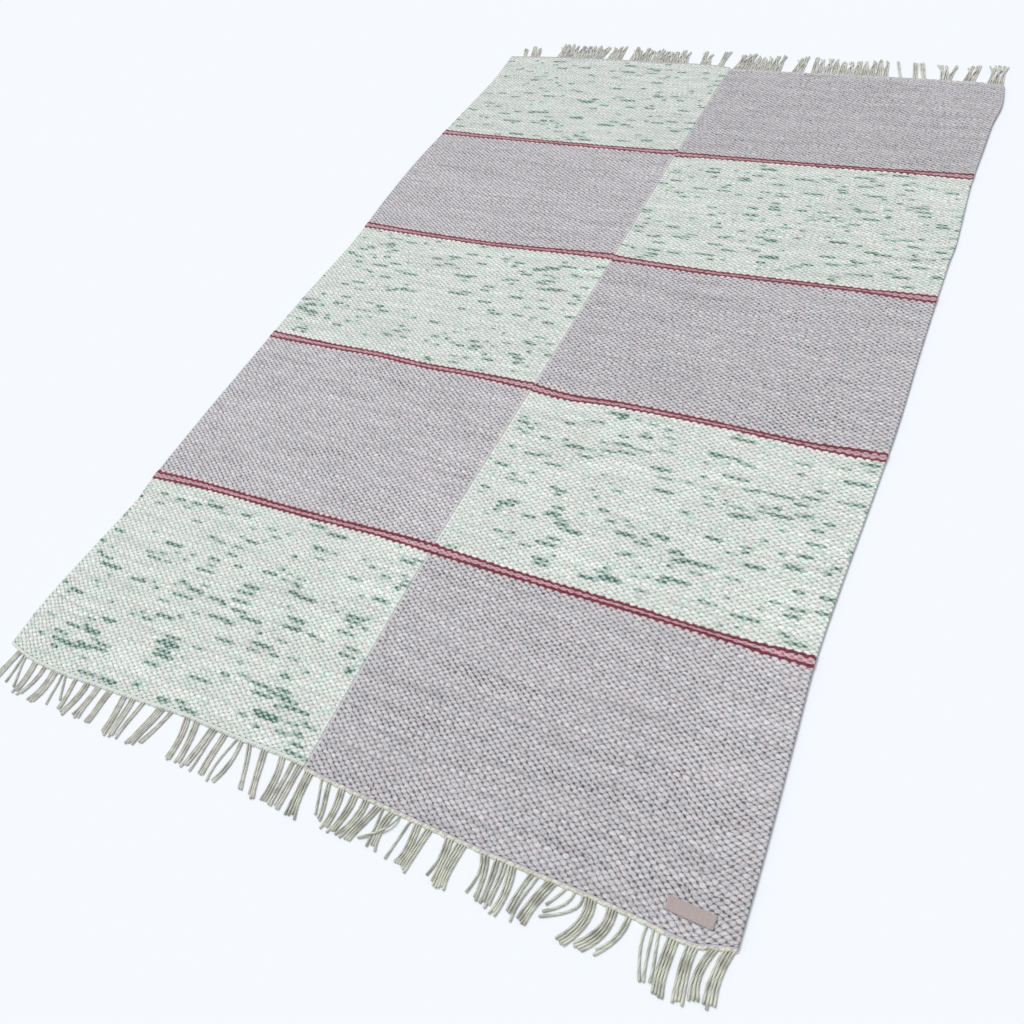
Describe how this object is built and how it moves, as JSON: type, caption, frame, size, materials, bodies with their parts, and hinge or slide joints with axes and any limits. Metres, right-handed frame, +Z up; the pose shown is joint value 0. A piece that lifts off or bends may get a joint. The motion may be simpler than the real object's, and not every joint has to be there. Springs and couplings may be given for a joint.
{
  "type": "kilim rug",
  "caption": "Flat-woven cotton kilim rug with chequered pale panels, narrow dark red stripes and a fringe at both short ends.",
  "frame": {"origin": "on the floor, under the middle of the whole rug with its fringe", "axes": "+X across the rug towards the strip that carries the label, +Y along the rug away from the labelled end, +Z up"},
  "size_m": [1.0267, 1.7499, 0.0065],
  "materials": {
    "mint_cotton": "coarse matt cotton flatweave, mint white with teal flecks, in panels with plain mauve grey ones",
    "mauve_cotton": "coarse matt cotton flatweave, heathered mauve grey, in panels with mint white flecked ones",
    "cream_yarn": "undyed twisted cotton yarn, matt",
    "label_cloth": "finely woven greyish pink tape, bare, faint sheen"
  },
  "bodies": {
    "root": {"left_strip": "mint_cotton", "right_strip": "mauve_cotton", "near_left_fringe": "cream_yarn", "near_right_fringe": "cream_yarn", "far_left_fringe": "cream_yarn", "far_right_fringe": "cream_yarn", "label": "label_cloth"}
  },
  "joints": []
}
